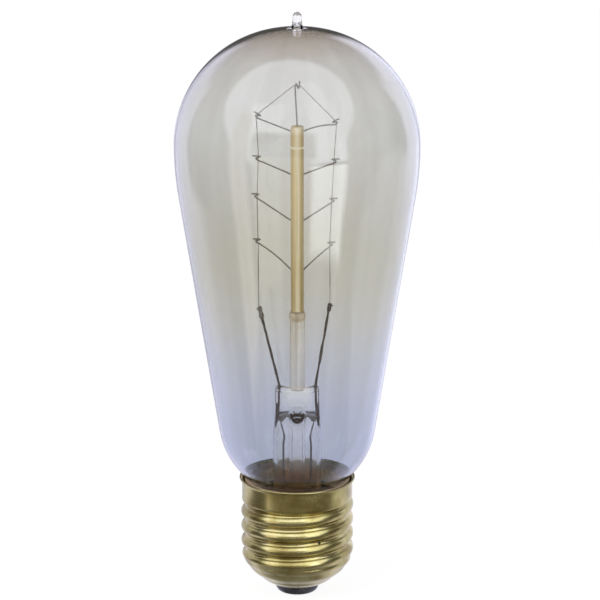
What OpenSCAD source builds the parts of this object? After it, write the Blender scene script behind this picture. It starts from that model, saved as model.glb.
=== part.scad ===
// Carbon filament bulb: a long pear-shaped glass envelope on a rolled screw cap. Inside stand a
// pressed glass stem, an amber glass rod with nine wire supports, and one strung carbon filament.
// Millimetres, +Z up. The origin is the middle of the flat centre contact; the filament lies in XZ.

/* [Glass envelope] */
// Widest outside diameter of the glass
glass_d = 57.6; // [52:0.2:64]
// Wall thickness of the blown glass
glass_t = 0.8; // [0.5:0.05:1.2]
// Height of the widest circle above the cap rim
belly_h = 80.6; // [76:0.2:90]
// Distance of the shoulder arc's centre from the axis
shoulder_off = 1.3; // [0.6:0.1:2.4]
// Extra radius of the crown arc over the shoulder arc
crown_flat = 6.2; // [4:0.1:9]
// Radius of the belly arc that runs into the taper
belly_r = 74; // [50:1:100]
// Half angle of the long taper
taper_a = 9.2; // [7.5:0.1:10.5]
// Radius of the lower shoulder
low_r = 18.6; // [10:0.2:22]
// Half angle of the throat cone that runs into the cap
throat_a = 41.6; // [36:0.2:48]
// Radial gap between the glass and the cap lip at the rim
mouth_gap = 0.95; // [0.5:0.05:1.5]
// Outside diameter of the neck inside the cap
neck_d = 21.6; // [20:0.1:22.6]
// Radius of the fillet between throat and neck
neck_fillet = 2; // [1:0.1:3]
// Depth of the neck's sealed end below the cap rim
seal_depth = 11.8; // [10:0.1:13]

/* [Glass tip] */
// Height of the sealed tip above the crown
tip_h = 3.8; // [2:0.1:6]
// Diameter of the tip's foot and of the hole that it closes
tip_foot_d = 3.2; // [2.6:0.1:4.4]
// Diameter of the tip at its rounded end
tip_end_d = 2.1; // [1.2:0.1:2.5]
// Diameter of the inner funnel at its mouth
tip_bore_d = 1.8; // [0.8:0.1:2.2]
// Length of the inner funnel
tip_bore_h = 2.4; // [1:0.1:2.6]

/* [Screw cap shell] */
// Height of the cap from contact face to rim
cap_h = 29.4; // [28:0.1:32]
// Thickness of the rolled brass sheet
cap_t = 0.3; // [0.2:0.02:0.4]
// Diameter over the flared lip
lip_d = 27.5; // [26.8:0.1:28.5]
// Height of the flared lip
lip_h = 1.3; // [0.9:0.1:2]
// Diameter of the plain collar above the thread
collar_d = 25.8; // [25.2:0.1:26.2]
// Major diameter of the round screw thread
thread_d = 26.3; // [26.05:0.05:26.45]
// Depth of the round thread, crest to root
thread_depth = 1.1; // [0.8:0.05:1.2]
// Pitch of the right-hand thread
thread_pitch = 3.629; // [3.4:0.001:3.9]
// Height at which the thread begins
thread_base = 8.8; // [8:0.1:10]
// Height of the plain collar between the thread and the rim
collar_h = 5; // [4:0.1:6.5]
// Length over which the thread runs in and out
thread_fade = 1.8; // [1:0.1:3]
// Height of a thread crest on the +X side
thread_start = 15; // [13:0.1:17]
// Diameter where the foot of the shell begins to close in
bowl_d = 25; // [24:0.1:25.6]
// Diameter of the bulge of the closing foot
bowl_bulge_d = 19.2; // [18:0.1:22]
// Height of the bulge of the closing foot
bowl_bulge_z = 4.4; // [4:0.1:5]
// Diameter of the opening in the foot of the shell
foot_d = 11.4; // [10.6:0.1:12.2]
// Height of the foot's edge above the contact face
foot_z = 2.8; // [2.4:0.1:3.2]

/* [Contact and insulator] */
// Diameter of the centre contact
contact_d = 6; // [5:0.1:8]
// Thickness of the centre contact
contact_t = 0.6; // [0.4:0.05:0.9]
// How far the contact stands proud of the black glass
contact_proud = 0.25; // [0.1:0.05:0.35]
// Width of the flat ring of black glass around the contact
insulator_flat = 0.5; // [0.3:0.1:1]
// Diameter of the contact's hollow rivet
eyelet_d = 2; // [1.4:0.1:2.6]
// Height of the rivet above the contact face
eyelet_h = 6.4; // [6:0.1:8]
// Diameter of the solder in the contact
solder_d = 1.4; // [1:0.1:1.8]
// Height of the black glass insulator's top
insulator_h = 5.8; // [5:0.1:6.5]
// Gap between the black glass and the shell
insulator_gap = 0.1; // [0.05:0.05:0.3]

/* [Basing cement] */
// Height of the cement's underside above the end of the thread
cement_lift = 0.1; // [0:0.05:1]
// How far the cement stays below the rim
cement_drop = 0.8; // [0.4:0.1:1.4]
// Gap between the cement and the collar
cement_gap = 0.1; // [0.08:0.02:0.3]

/* [Glass stem] */
// Outside diameter of the stem tube
stem_d = 11.6; // [11:0.1:12.4]
// Wall of the stem tube
stem_t = 0.9; // [0.6:0.05:1.1]
// Radius of the flare at the foot of the stem
flare_r = 4; // [2.5:0.1:4.4]
// Length of the tube from the seal to the press
stem_h = 21; // [17:0.1:25]
// Width of the press
press_w = 10.4; // [10:0.1:11.4]
// Thickness of the press
press_t = 4.4; // [4:0.1:6]
// Height of the press above the tube
press_h = 13.1; // [12:0.1:16]
// Height over which the tube is pinched flat
pinch_h = 8; // [6:0.1:9]
// Radius of the press's top corners
press_round = 0.8; // [0.3:0.1:1]
// Dip of the press's top edge beside the rod
press_dip = 0.6; // [0.2:0.1:1]
// Width of the flat between the dip and the rounded corner
press_flat = 0.3; // [0.2:0.05:0.5]
// Height of the hollow under the press, at its middle
arch_h = 6.4; // [5.6:0.1:7]
// How much lower the hollow is at its sides
arch_drop = 1.6; // [0.8:0.1:2.4]
// Diameter of the exhaust hole in the press
blow_d = 3.8; // [3:0.1:3.8]
// Height of the exhaust hole above the tube
blow_h = 6.6; // [5.8:0.1:7]
// Outside diameter of the exhaust tube
exhaust_d = 4; // [3.6:0.1:4.4]
// Wall of the exhaust tube
exhaust_t = 0.8; // [0.5:0.05:1]
// Length of the exhaust tube below the seal
exhaust_drop = 6.6; // [4:0.1:7.4]

/* [Glass rod] */
// Diameter of the clear lower rod
clear_d = 3.65; // [3:0.05:4.4]
// Length of the clear rod above the press
clear_h = 16.2; // [12:0.1:20]
// Depth of the clear rod's seat in the press
clear_seat = 2.5; // [1.5:0.1:3]
// Diameter of the bead that joins the two rods
bead_d = 3.95; // [3.7:0.05:4.6]
// Height of the bead
bead_h = 2.2; // [1.2:0.1:3]
// Diameter of the amber support rod
rod_d = 3.15; // [2.8:0.05:3.6]
// Length of the amber support rod
rod_h = 44.4; // [40:0.2:50]
// Rounding of the amber rod's top edge
rod_round = 0.35; // [0.1:0.05:0.6]

/* [Wire supports] */
// Diameter of the support wires
support_d = 0.36; // [0.3:0.02:0.5]
// Depth of the supports in the rod
support_seat = 1.1; // [0.8:0.05:1.2]
// Depth of the first pair of supports below the rod's top
arm_first = 1.15; // [0.8:0.05:2]
// Spacing of the first and second pairs of supports
arm_pitch = 10.25; // [8:0.05:11]
// Growth of the spacing from pair to pair
arm_growth = 0.8; // [0:0.05:1]
// Reach of the left hooks from the axis, from the top down
left_reach = [9.1, 9.1, 9.4, 9.2]; // [8.6:0.05:10]
// Rise of the left hooks above their roots, from the top down
left_rise = [3.65, 3.9, 5.95, 7]; // [1:0.05:7.4]
// Upward bow of the left arms, from the top down
left_bow = [0, 0, 0, 0.9]; // [-1:0.1:1.2]
// Reach of the right hooks from the axis, from the top down
right_reach = [8.8, 8.6, 8.1, 7.65]; // [7.2:0.05:10]
// Rise of the right hooks above their roots, from the top down
right_rise = [2.05, 3.2, 4.9, 6.2]; // [1:0.05:7.4]
// Upward bow of the right arms, from the top down
right_bow = [0.9, 0, 0, 0.3]; // [-1:0.1:1.2]
// Height of the top hook above the rod
apex_h = 9.5; // [7:0.1:11]
// Gap between a hook and the filament in it
hook_clear = 0.2; // [0.15:0.01:0.3]
// Rise of a hook's single turn
hook_rise = 1; // [0.6:0.02:1.2]
// Length of the free end of a hook
hook_tail = 1.3; // [0.6:0.1:2]

/* [Filament and leads] */
// Diameter of the carbon filament
filament_d = 0.22; // [0.2:0.02:0.36]
// Diameter of the inner leads
lead_d = 0.6; // [0.5:0.02:0.7]
// Diameter of the seal wires in the press
seal_d = 0.42; // [0.36:0.02:0.5]
// Distance of the leads from the axis in the press
lead_spread = 4.3; // [4.1:0.05:4.5]
// Reach of the left lead's top from the axis
left_lead_reach = 9.05; // [8.6:0.05:9.6]
// Height of the left lead's top above the press
left_lead_h = 19.4; // [16:0.1:22]
// Reach of the right lead's top from the axis
right_lead_reach = 7.65; // [7.2:0.05:9.6]
// Height of the right lead's top above the press
right_lead_h = 20.2; // [16:0.1:22]
// Diameter and length of the left filament clamp
left_clamp = [1.2, 2.9]; // [0.9:0.05:3.2]
// Diameter and length of the right filament clamp
right_clamp = [0.95, 2]; // [0.9:0.05:3.2]
// Length of filament gripped in a clamp
clamp_grip = 1; // [0.6:0.05:1.2]
// Depth of the weld between lead and seal wire below the press top
weld_depth = 1.4; // [1.2:0.1:2]
// Length of seal wire that stands out under the press
seal_out = 0.5; // [0.2:0.05:0.8]
// Diameter of the outer leads
outer_d = 0.5; // [0.4:0.02:0.6]
// Distance of the outer leads from the axis inside the stem
outer_spread = 3.3; // [2.9:0.05:3.8]
// Azimuth of the side lead's joint on the shell
side_joint_az = -65; // [-80:1:-50]
// Depth of the side lead's joint below the stem's flange
side_joint_drop = 0.7; // [0.5:0.1:1.5]
// Diameter of the side joint's solder
side_solder_d = 1.4; // [0.8:0.1:1.6]
// Length of the side joint's solder
side_solder_l = 0.7; // [0.4:0.05:0.8]
// Gap between the side solder and the shell
side_solder_gap = 0.12; // [0.08:0.02:0.3]

/* [Hidden] */

$fn = 64;
// Facets around the shell, and rows of facets in one pitch of its thread
shell_facets = 36;
rows_per_pitch = 9;
// Sides of a swept wire, and points in one turn of a hook
wire_sides = 8;
hook_points = 12;
// How far a cutting body reaches past the surface that it cuts
past = 0.6;

glass_tint = [0.78, 0.77, 0.74, 0.35];
clear_tint = [0.85, 0.88, 0.92, 0.5];
amber_tint = [0.80, 0.74, 0.52];
brass_tint = [0.72, 0.66, 0.42];
wire_tint = [0.36, 0.33, 0.32];
copper_tint = [0.6, 0.42, 0.3];
solder_tint = [0.7, 0.7, 0.72];

// Heights, from the contact face up
rim_z = cap_h;
thread_top = rim_z - collar_h;
seal_z = rim_z - seal_depth;
belly_z = rim_z + belly_h;
tube_top = seal_z + stem_h;
press_top = tube_top + press_h;
bead_z = press_top + clear_h;
rod_z = bead_z + bead_h;
rod_top = rod_z + rod_h;

// Glass outline: crown arc, shoulder arc, belly arc, taper, lower shoulder, throat, neck
shoulder_r = glass_d / 2 - shoulder_off;
crown_r = shoulder_r + crown_flat;
crown_cz = belly_z - sqrt(pow(crown_flat, 2) - pow(shoulder_off, 2));
crown_z = crown_cz + crown_r;
crown_a = acos(shoulder_off / crown_flat);
belly_c = [glass_d / 2 - belly_r, belly_z];
neck_r = neck_d / 2;
mouth = [lip_d / 2 - cap_t - mouth_gap, rim_z];
taper_dir = [-sin(taper_a), -cos(taper_a)];
throat_dir = [sin(throat_a), cos(throat_a)];
taper_start = belly_c + belly_r * [cos(taper_a), -sin(taper_a)];
taper_l = flat_cross(mouth - taper_start, throat_dir) / flat_cross(taper_dir, throat_dir);
low_corner = taper_start + taper_l * taper_dir;
neck_corner = mouth + (neck_r - mouth[0]) / sin(throat_a) * throat_dir;
throat_l = norm(low_corner - neck_corner) - neck_fillet * tan(throat_a / 2);
low_half_turn = (throat_a - taper_a) / 2;
low_used = min(low_r, min(taper_l, throat_l) / tan(low_half_turn));
low_start = low_corner - low_used * tan(low_half_turn) * taper_dir;
low_c = low_start + low_used * [-cos(taper_a), sin(taper_a)];
neck_c = [neck_r + neck_fillet, neck_corner[1] - neck_fillet * tan(throat_a / 2)];

// Rolled thread: equal round crests and roots that meet at half depth
thread_arc = (pow(thread_depth, 2) + pow(thread_pitch / 2, 2)) / (4 * thread_depth);
thread_root = thread_d / 2 - thread_depth;

// Closing foot of the shell, as a curve from the opening to the thread
bowl_curve = [[foot_d / 2, foot_z], [bowl_bulge_d / 2, bowl_bulge_z], [bowl_d / 2, thread_base]];
bowl_rows = 8;

// Hollow under the press
hollow_r = stem_d / 2 - stem_t;
flare_used = min(flare_r, neck_r - glass_t - stem_d / 2);
seal_end = roof_z(lead_spread) - seal_out;
exhaust_top = tube_top + blow_h + exhaust_t / 2;
exhaust_end = seal_z - exhaust_drop;

// Leads: foot on the press, top, and direction between them
lead_lift = 0.12;
left_foot = [-lead_spread, 0, press_top + lead_lift];
right_foot = [lead_spread, 0, press_top + lead_lift];
left_top = [-left_lead_reach, 0, press_top + left_lead_h];
right_top = [right_lead_reach, 0, press_top + right_lead_h];
left_dir = unit(left_top - left_foot);
right_dir = unit(right_top - right_foot);

// Side lead's joint on the inside of the shell
side_dir = [cos(side_joint_az), sin(side_joint_az), 0];
side_joint_z = seal_z - stem_t - side_joint_drop;
side_joint_r = thread_root - cap_t - side_solder_gap - side_solder_l;
side_joint = side_joint_r * side_dir + [0, 0, side_joint_z];

// Filament: strung from the left lead over the hooks to the right lead
hook_r = (support_d + filament_d) / 2 + hook_clear;
hook_hold = hook_rise / 2 + support_d;
filament_free = 0.3;
left_roots = [for (i = [0:3]) [-rod_d / 2, 0, root_z(i)]];
right_roots = [for (i = [0:3]) [rod_d / 2, 0, root_z(i)]];
apex_root = [0, 0, rod_top];
left_hooks = [for (i = [0:3]) [-left_reach[i], 0, root_z(i) + left_rise[i]]];
right_hooks = [for (i = [0:3]) [right_reach[i], 0, root_z(i) + right_rise[i]]];
apex_hook = [0, 0, rod_top + apex_h];
strand = concat(
    [left_top + filament_free * left_dir],
    [for (i = [3:-1:0]) left_hooks[i]],
    [apex_hook],
    right_hooks,
    [right_top + filament_free * right_dir]
);
apex_index = 5;

function unit(v) = v / norm(v);
function flat_cross(a, b) = a[0] * b[1] - a[1] * b[0];
function smooth(t) = let (c = min(1, max(0, t))) c * c * (3 - 2 * c);
function turned(r, a) = r * [cos(a), sin(a)];
function arc(c, r, a0, a1, n) = [for (i = [0:n]) c + turned(r, a0 + (a1 - a0) * i / n)];
function bezier(p, t) = (1 - t) * (1 - t) * p[0] + 2 * t * (1 - t) * p[1] + t * t * p[2];
function bezier_dir(p, t) = unit((1 - t) * (p[1] - p[0]) + t * (p[2] - p[1]));
function root_z(i) = rod_top - arm_first - i * arm_pitch - arm_growth * i * (i - 1) / 2;
function roof_z(x) = tube_top + arch_h - arch_drop * pow(x / hollow_r, 2);
function crown_at(r, inset) = crown_cz + sqrt(pow(crown_r - inset, 2) - r * r);

// Throat fillet and neck, which the cement also follows
function neck_arc(inset) = arc(neck_c, neck_fillet + inset, 180 - throat_a, 180, 6);

// Glass outline from the tip's hole down to the sealed end, moved inwards by inset
function glass_outline(inset) = concat(
    arc([0, crown_cz], crown_r - inset, acos(tip_foot_d / 2 / (crown_r - inset)), crown_a, 10),
    arc([shoulder_off, belly_z], shoulder_r - inset, crown_a, 0, 16),
    arc(belly_c, belly_r - inset, 0, -taper_a, 4),
    arc(low_c, low_used - inset, -taper_a, -throat_a, 8),
    neck_arc(inset),
    [[neck_r - inset, seal_z]]
);

// Radius of the round thread at a height above a crest
function thread_r(h) = let (u = abs(h - thread_pitch * round(h / thread_pitch)))
    u < thread_pitch / 4
        ? thread_d / 2 - thread_arc + sqrt(pow(thread_arc, 2) - u * u)
        : thread_root + thread_arc - sqrt(pow(thread_arc, 2) - pow(thread_pitch / 2 - u, 2));
function thread_share(z) =
    smooth((z - thread_base) / thread_fade) * smooth((thread_top - z) / thread_fade);

// Rows of the shell from its foot to its lip: radius without thread, height, outward direction
lip_rise = lip_h - cap_t;
lip_out = (lip_d - collar_d) / 2;
lip_arc = (pow(lip_out, 2) + pow(lip_rise, 2)) / (2 * lip_out);
lip_c = [collar_d / 2 + lip_arc, rim_z - lip_h];
lip_turn = asin(lip_rise / lip_arc);
thread_rows = ceil((thread_top - thread_base) / thread_pitch * rows_per_pitch);
function bowl_row(t) = let (
    p = bezier(bowl_curve, t),
    d = bezier_dir(bowl_curve, t)
) [p[0], p[1], d[1], -d[0]];
function thread_row(t) = [
    bowl_d / 2 + t * (collar_d - bowl_d) / 2,
    thread_base + t * (thread_top - thread_base),
    1,
    0
];
function lip_row(a) = [lip_c[0] + lip_arc * cos(a), lip_c[1] + lip_arc * sin(a), -cos(a), -sin(a)];
shell_rows = concat(
    [for (i = [0:bowl_rows - 1]) bowl_row(i / bowl_rows)],
    [for (i = [0:thread_rows]) thread_row(i / thread_rows)],
    [for (i = [0:4]) lip_row(180 - lip_turn * i / 4)]
);
function shell_point(row, inset, a) = let (
    z = row[1] - inset * row[3],
    wound = thread_r(row[1] - thread_start - thread_pitch * a / 360),
    r = row[0] + thread_share(row[1]) * (wound - row[0]) - inset * row[2]
) [r * cos(a), r * sin(a), z];

// Frame of a hook: along the filament, away from the rod, and to the front
function strand_dir(k) = unit(unit(strand[k + 1] - strand[k]) + unit(strand[k] - strand[k - 1]));
function hook_out(k) = let (t = strand_dir(k)) [-t[2], 0, t[0]];
function hook_point(k, a, along) = strand[k] + along * strand_dir(k)
    + hook_r * (cos(a) * [0, -1, 0] + sin(a) * hook_out(k));

// Path of a support: seat in the rod, arm, one turn around the filament, free end
function arm_curve(k, root, bow, lift) = let (head = hook_point(k, 0, -lift * hook_rise / 2))
    [root, (root + head) / 2 + [0, 0, bow], head];
function support_path(k, root, bow, lift) = let (
    arm = arm_curve(k, root, bow, lift),
    turn = [for (i = [1:hook_points])
        hook_point(k, 360 * i / hook_points, lift * hook_rise * (i / hook_points - 0.5))]
) concat(
    [root - support_seat * bezier_dir(arm, 0)],
    [for (t = [0:0.25:1]) bezier(arm, t)],
    turn,
    [turn[hook_points - 1] + hook_tail * hook_out(k)]
);

// Number in the strand, root, bow and lift of each left and right support, from the top down
function left_args(i) = [apex_index - 1 - i, left_roots[i], left_bow[i], 1];
function right_args(i) = [apex_index + 1 + i, right_roots[i], right_bow[i], -1];
apex_args = [apex_index, apex_root, 0, 1];

// Round wire swept along a path; across is a direction that the path never takes
module wire(path, d, across) {
    last = len(path) - 1;
    steps = [for (i = [0:last - 1]) unit(path[i + 1] - path[i])];
    dirs = [for (i = [0:last]) unit(steps[max(0, i - 1)] + steps[min(last - 1, i)])];
    points = [for (i = [0:last]) let (a = unit(cross(across, dirs[i])), b = cross(dirs[i], a))
        for (j = [0:wire_sides - 1]) let (w = turned(d / 2, 360 * j / wire_sides))
            path[i] + w[0] * a + w[1] * b];
    walls = [for (i = [0:last - 1]) for (j = [0:wire_sides - 1])
        let (p = i * wire_sides + j, q = i * wire_sides + (j + 1) % wire_sides)
        for (f = [[p, p + wire_sides, q], [q, p + wire_sides, q + wire_sides]]) f];
    top = last * wire_sides;
    ends = [for (j = [1:wire_sides - 2]) for (f = [[0, j, j + 1], [top, top + j + 1, top + j]]) f];
    polyhedron(points, concat(walls, ends));
}

// Cylinder from a point along a direction
module rod_along(from, dir, d, l) {
    translate(from) rotate([0, acos(dir[2]), atan2(dir[1], dir[0])]) cylinder(d = d, h = l);
}

// Outline in XZ, drawn out along Y
module across_front(l) {
    rotate([90, 0, 0]) linear_extrude(l, center = true) children();
}

// Outline in YZ, drawn out along X
module across_side(l) {
    rotate([90, 0, 90]) linear_extrude(l, center = true) children();
}

module glass_envelope() {
    inner = glass_outline(glass_t);
    color(glass_tint) rotate_extrude() polygon(concat(
        glass_outline(0),
        [for (i = [len(inner) - 1:-1:0]) inner[i]]
    ));
}

module envelope_tip() {
    foot_r = tip_foot_d / 2;
    end_r = tip_end_d / 2;
    end_z = crown_z + tip_h - end_r;
    waist = [[foot_r, crown_at(foot_r, 0)], [end_r, crown_at(foot_r, 0) + tip_h / 3], [end_r, end_z]];
    inner_z = crown_at(foot_r, glass_t);
    color(glass_tint) rotate_extrude() polygon(concat(
        [[tip_bore_d / 2, inner_z], [foot_r, inner_z]],
        [for (t = [0:0.125:1]) bezier(waist, t)],
        [for (a = [15:15:90]) [end_r * cos(a), end_z + end_r * sin(a)]],
        [[0, inner_z + tip_bore_h]]
    ));
}

module cap_shell() {
    rows = len(shell_rows);
    outer = [for (j = [0:rows - 1]) [shell_rows[j], 0]];
    inner = [for (j = [rows - 1:-1:0]) [shell_rows[j], cap_t]];
    loop = concat(outer, inner);
    turns = len(loop);
    points = [for (p = loop) for (i = [0:shell_facets - 1])
        shell_point(p[0], p[1], 360 * i / shell_facets)];
    faces = [for (j = [0:turns - 1]) for (i = [0:shell_facets - 1]) let (
        below = j * shell_facets,
        above = ((j + 1) % turns) * shell_facets,
        next = (i + 1) % shell_facets
    ) for (f = [[below + i, above + i, below + next], [below + next, above + i, above + next]]) f];
    color(brass_tint) polyhedron(points, faces);
}

module basing_cement() {
    cement_r = collar_d / 2 - cap_t - cement_gap;
    top_z = rim_z - cement_drop;
    low_z = thread_top + cement_lift;
    throat_r = mouth[0] - cement_drop * tan(throat_a);
    color([0.45, 0.39, 0.32]) rotate_extrude() polygon(concat(
        [[cement_r, low_z], [cement_r, top_z], [throat_r, top_z]],
        neck_arc(0),
        [[neck_r, low_z]]
    ));
}

// Curve of the shell's foot, moved inwards by inset
function foot_bed(inset) = [for (i = [0:bowl_rows]) let (r = bowl_row(i / bowl_rows))
    [r[0] - inset * r[2], r[1] - inset * r[3]]];

module cap_insulator() {
    gap = cap_t + insulator_gap;
    seat_r = foot_d / 2 - gap;
    flat_r = contact_d / 2 + insulator_flat;
    under = [[flat_r, contact_proud], [seat_r, contact_proud], [seat_r, foot_z]];
    bed = foot_bed(gap);
    color([0.13, 0.13, 0.14]) rotate_extrude() polygon(concat(
        [[eyelet_d / 2, contact_t], [contact_d / 2, contact_t], [contact_d / 2, contact_proud]],
        [for (t = [0:0.2:0.8]) bezier(under, t)],
        [for (p = bed) if (p[1] < insulator_h && p[0] > seat_r) p],
        [[lookup(insulator_h, [for (p = bed) [p[1], p[0]]]), insulator_h], [eyelet_d / 2, insulator_h]]
    ));
}

module centre_contact() {
    edge = contact_t / 4;
    color(brass_tint) rotate_extrude() polygon([
        [solder_d / 2, 0], [contact_d / 2 - edge, 0], [contact_d / 2, edge], [contact_d / 2, contact_t],
        [eyelet_d / 2, contact_t], [eyelet_d / 2, eyelet_h], [outer_d / 2, eyelet_h],
        [outer_d / 2, contact_t], [solder_d / 2, contact_t]
    ]);
}

module contact_solder() {
    color(solder_tint) cylinder(d = solder_d, h = contact_t);
}

module side_solder() {
    color(solder_tint) rod_along(side_joint, side_dir, side_solder_d, side_solder_l);
}

module stem_flare() {
    stem_r = stem_d / 2;
    c = [stem_r + flare_used, seal_z + flare_used];
    color(clear_tint) rotate_extrude() polygon(concat(
        [[hollow_r, tube_top], [stem_r, tube_top]],
        arc(c, flare_used, 180, 270, 10),
        [[neck_r, seal_z], [neck_r, seal_z - stem_t]],
        arc(c, flare_used + stem_t, 270, 180, 10)
    ));
}

// Side of the pinched tube, from just outside the round tube to the flat press, moved inwards by inset
function pinch_side(flat, inset) = [for (i = [0:8]) let (share = (1 + cos(180 * i / 8)) / 2)
    [flat / 2 - inset + share * (stem_d + stem_t - flat) / 2, tube_top + pinch_h * i / 8]];

// Mirrors a half outline about the upright axis and closes it
function closed(half) = concat(half, [for (i = [len(half) - 1:-1:0]) [-half[i][0], half[i][1]]]);

module press_body() {
    corner = [press_w / 2 - press_round, press_top - press_round];
    thin = concat(pinch_side(press_t, 0), [[press_t / 2, press_top + past]]);
    wide = concat(pinch_side(press_w, 0), arc(corner, press_round, 0, 90, 4));
    intersection() {
        translate([0, 0, tube_top]) cylinder(d = stem_d, h = press_h);
        across_side(2 * stem_d) polygon(closed(thin));
        across_front(2 * stem_d) polygon(closed(wide));
    }
}

module press_hollow() {
    low_z = tube_top - past;
    thin = concat([[hollow_r, low_z]], pinch_side(press_t, stem_t));
    roof = [for (i = [4:-1:-4]) let (x = hollow_r * i / 4) [x, roof_z(x)]];
    intersection() {
        translate([0, 0, low_z]) cylinder(r = hollow_r, h = press_h);
        across_side(2 * stem_d) polygon(closed(thin));
        across_front(2 * stem_d) polygon(concat([[-hollow_r, low_z], [hollow_r, low_z]], roof));
    }
}

// Exhaust hole, which opens to the front of the press
module blow_hole() {
    translate([0, 0, tube_top + blow_h]) rotate([90, 0, 0]) cylinder(d = blow_d, h = stem_d);
}

module stem_press() {
    dip_w = press_w / 2 - press_round - press_flat;
    dip_r = (pow(dip_w, 2) + pow(press_dip, 2)) / (2 * press_dip);
    color(clear_tint) difference() {
        press_body();
        press_hollow();
        blow_hole();
        translate([0, 0, tube_top]) cylinder(d = exhaust_d, h = exhaust_top - tube_top);
        translate([0, 0, press_top - clear_seat]) cylinder(d = clear_d, h = clear_seat + past);
        across_front(stem_d) translate([0, press_top - press_dip + dip_r]) circle(dip_r);
        for (side = [-1, 1])
            translate([side * lead_spread, 0, press_top]) {
                translate([0, 0, -press_h]) cylinder(d = seal_d, h = press_h);
                translate([0, 0, -weld_depth]) cylinder(d = lead_d, h = weld_depth + past);
            }
    }
}

module exhaust_tube() {
    out_r = exhaust_d / 2;
    bore_r = out_r - exhaust_t;
    color(clear_tint) difference() {
        rotate_extrude() polygon(concat(
            [[bore_r, exhaust_top], [bore_r, exhaust_end + exhaust_d]],
            [[0, exhaust_end + exhaust_t + out_r]],
            arc([0, exhaust_end + out_r], out_r, -90, 0, 6),
            [[out_r, exhaust_top]]
        ));
        blow_hole();
    }
}

module clear_rod() {
    color(clear_tint) translate([0, 0, press_top - clear_seat])
        cylinder(d = clear_d, h = clear_seat + clear_h);
}

module rod_bead() {
    bulge_r = bead_d - (clear_d + rod_d) / 4;
    side = [[clear_d / 2, bead_z], [bulge_r, bead_z + bead_h / 2], [rod_d / 2, rod_z]];
    color(clear_tint) rotate_extrude() polygon(concat(
        [[0, bead_z]],
        [for (t = [0:0.125:1]) bezier(side, t)],
        [[0, rod_z]]
    ));
}

// Seat of a support in the rod
module support_hole(args) {
    dir = bezier_dir(arm_curve(args[0], args[1], args[2], args[3]), 0);
    rod_along(args[1] - support_seat * dir, dir, support_d, support_seat + past);
}

module support_rod() {
    rod_r = rod_d / 2;
    color(amber_tint) difference() {
        rotate_extrude() polygon(concat(
            [[0, rod_z], [rod_r, rod_z]],
            arc([rod_r - rod_round, rod_top - rod_round], rod_round, 0, 90, 4),
            [[0, rod_top]]
        ));
        support_hole(apex_args);
        for (i = [0:3]) {
            support_hole(left_args(i));
            support_hole(right_args(i));
        }
    }
}

module support(args) {
    color(wire_tint) wire(support_path(args[0], args[1], args[2], args[3]), support_d, strand_dir(args[0]));
}

module carbon_filament() {
    last = len(strand) - 1;
    color([0.2, 0.19, 0.19]) wire(concat(
        [left_top - clamp_grip * left_dir, strand[0]],
        [for (k = [1:last - 1]) for (side = [-1, 1]) strand[k] + side * hook_hold * strand_dir(k)],
        [strand[last], right_top - clamp_grip * right_dir]
    ), filament_d, [0, 1, 0]);
}

// Ferrule that holds the filament's end against the top of a lead
module filament_clamp(top, dir, size) {
    color(wire_tint) difference() {
        rod_along(top - size[1] * dir, dir, size[0], size[1]);
        rod_along(top - (size[1] + past) * dir, dir, lead_d, size[1] + past - clamp_grip);
        rod_along(top - clamp_grip * dir, dir, filament_d, clamp_grip + past);
    }
}

module inner_lead(top, dir, foot) {
    color(wire_tint) wire(
        [top - clamp_grip * dir, foot, [foot[0], 0, press_top - weld_depth]],
        lead_d,
        [0, 1, 0]
    );
}

module seal_wire(side) {
    color([0.55, 0.33, 0.24]) translate([side * lead_spread, 0, seal_end])
        cylinder(d = seal_d, h = press_top - weld_depth - seal_end);
}

// First stretch of both outer leads, from the seal wire into the stem tube
function outer_start(side) = [
    [side * lead_spread, 0, seal_end],
    [side * lead_spread, 0, seal_end - outer_d],
    [side * outer_spread, 0, tube_top]
];

module outer_lead_centre() {
    color(copper_tint) wire(concat(outer_start(-1), [
        [-outer_spread, 0, exhaust_end],
        [-outer_spread / 2, 0, (exhaust_end + eyelet_h) / 2],
        [0, 0, eyelet_h + outer_d],
        [0, 0, contact_t]
    ]), outer_d, [0, 1, 0]);
}

module outer_lead_side() {
    bend_z = side_joint_z + 2 * outer_d;
    color(copper_tint) wire(concat(outer_start(1), [
        [outer_spread, 0, seal_z + flare_used],
        side_joint_r / 3 * side_dir + [outer_spread / 4, 0, bend_z],
        side_joint_r / 2 * side_dir + [0, 0, side_joint_z],
        side_joint
    ]), outer_d, [1, 0, 0]);
}

glass_envelope();
envelope_tip();
cap_shell();
basing_cement();
cap_insulator();
centre_contact();
contact_solder();
side_solder();
stem_flare();
stem_press();
exhaust_tube();
clear_rod();
rod_bead();
support_rod();
support(apex_args);  // apex_support
for (i = [0:3]) support(left_args(i));
for (i = [0:3]) support(right_args(i));
carbon_filament();
filament_clamp(left_top, left_dir, left_clamp);  // filament_clamp_left
filament_clamp(right_top, right_dir, right_clamp);  // filament_clamp_right
inner_lead(left_top, left_dir, left_foot);  // inner_lead_left
inner_lead(right_top, right_dir, right_foot);  // inner_lead_right
seal_wire(-1);  // seal_wire_left
seal_wire(1);  // seal_wire_right
outer_lead_centre();
outer_lead_side();
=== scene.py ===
import math

import bmesh
import bpy
from mathutils import Matrix, Vector


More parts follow.
